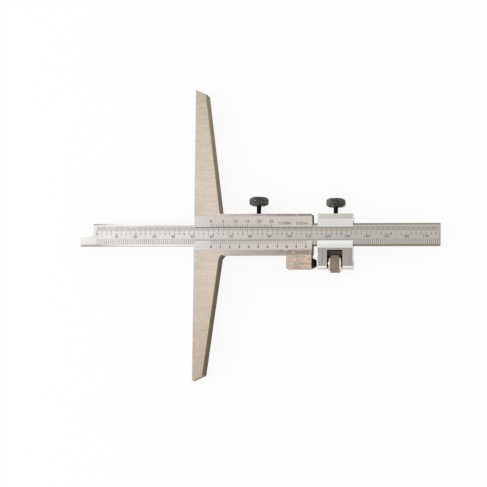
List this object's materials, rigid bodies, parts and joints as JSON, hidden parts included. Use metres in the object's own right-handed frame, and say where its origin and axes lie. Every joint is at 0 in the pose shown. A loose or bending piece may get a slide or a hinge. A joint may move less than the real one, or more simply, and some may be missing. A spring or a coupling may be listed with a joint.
{
  "type": "vernier depth gauge",
  "caption": "Vernier depth gauge: wide tapered base, graduated sliding beam with a stepped nose, fine-adjust carriage with a knurled nut, and knurled lock screws.",
  "frame": {"origin": "middle of the datum face, on the axis of the beam", "axes": "+X from the datum face along the beam towards the carriage, +Y towards the lock screws, +Z out of the graduated face"},
  "size_m": [0.1862, 0.15, 0.0101],
  "materials": {
    "brushed_frame": "warm brushed steel, lines along the beam",
    "satin_steel": "satin chromed steel",
    "beam_steel": "satin ground steel with dark graduations",
    "black_oxide": "black oxide, knurled",
    "nickel": "worn bright nickel, knurled",
    "brass": "plain brass",
    "screw_steel": "turned steel"
  },
  "bodies": {
    "frame": {"base_frame": "brushed_frame", "frame_back_plate": "satin_steel", "frame_back_screw_1": "screw_steel", "frame_back_screw_2": "screw_steel", "frame_back_screw_3": "screw_steel", "frame_back_screw_4": "screw_steel", "frame_gib": "brass", "gib_grub_screw_1": "black_oxide", "gib_grub_screw_2": "black_oxide", "screw_lug": "brushed_frame", "lug_screw_1": "screw_steel", "lug_screw_2": "screw_steel", "fine_screw": "black_oxide", "anchor_pin": "screw_steel"},
    "beam": {"beam": "beam_steel"},
    "carriage": {"carriage_body": "satin_steel", "carriage_gib": "brass"},
    "fine_nut": {"fine_nut": "nickel"},
    "frame_lock_pad": {"frame_lock_pad": "brass"},
    "frame_lock_screw": {"frame_lock_screw": "black_oxide"},
    "carriage_lock_pad": {"carriage_lock_pad": "brass"},
    "carriage_lock_screw": {"carriage_lock_screw": "black_oxide"}
  },
  "joints": [
    {"name": "beam_slide", "type": "slide", "parent": "frame", "child": "beam", "axis": [-1, 0, 0], "range_m": [-0.06, 0.04]},
    {"name": "fine_feed", "type": "slide", "parent": "frame", "child": "carriage", "axis": [1, 0, 0], "range_m": [-0.001, 0.004]},
    {"name": "nut_spin", "type": "hinge", "parent": "carriage", "child": "fine_nut", "pos_m": [0.0727, -0.0147, 0], "axis": [1, 0, 0], "range_deg": [-720, 2880]},
    {"name": "frame_lock_travel", "type": "slide", "parent": "frame", "child": "frame_lock_pad", "axis": [0, 1, 0], "range_m": [0, 0.0009]},
    {"name": "frame_lock_spin", "type": "hinge", "parent": "frame_lock_pad", "child": "frame_lock_screw", "pos_m": [0.033, 0.0146, 0], "axis": [0, 1, 0], "range_deg": [0, 720]},
    {"name": "carriage_lock_travel", "type": "slide", "parent": "carriage", "child": "carriage_lock_pad", "axis": [0, 1, 0], "range_m": [0, 0.0009]},
    {"name": "carriage_lock_spin", "type": "hinge", "parent": "carriage_lock_pad", "child": "carriage_lock_screw", "pos_m": [0.0727, 0.0138, 0], "axis": [0, 1, 0], "range_deg": [0, 720]}
  ],
  "couplings": [
    {"joint": "nut_spin", "follows": "fine_feed", "rad_per_m": 12566},
    {"joint": "frame_lock_spin", "follows": "frame_lock_travel", "rad_per_m": 13963},
    {"joint": "carriage_lock_spin", "follows": "carriage_lock_travel", "rad_per_m": 13963}
  ]
}
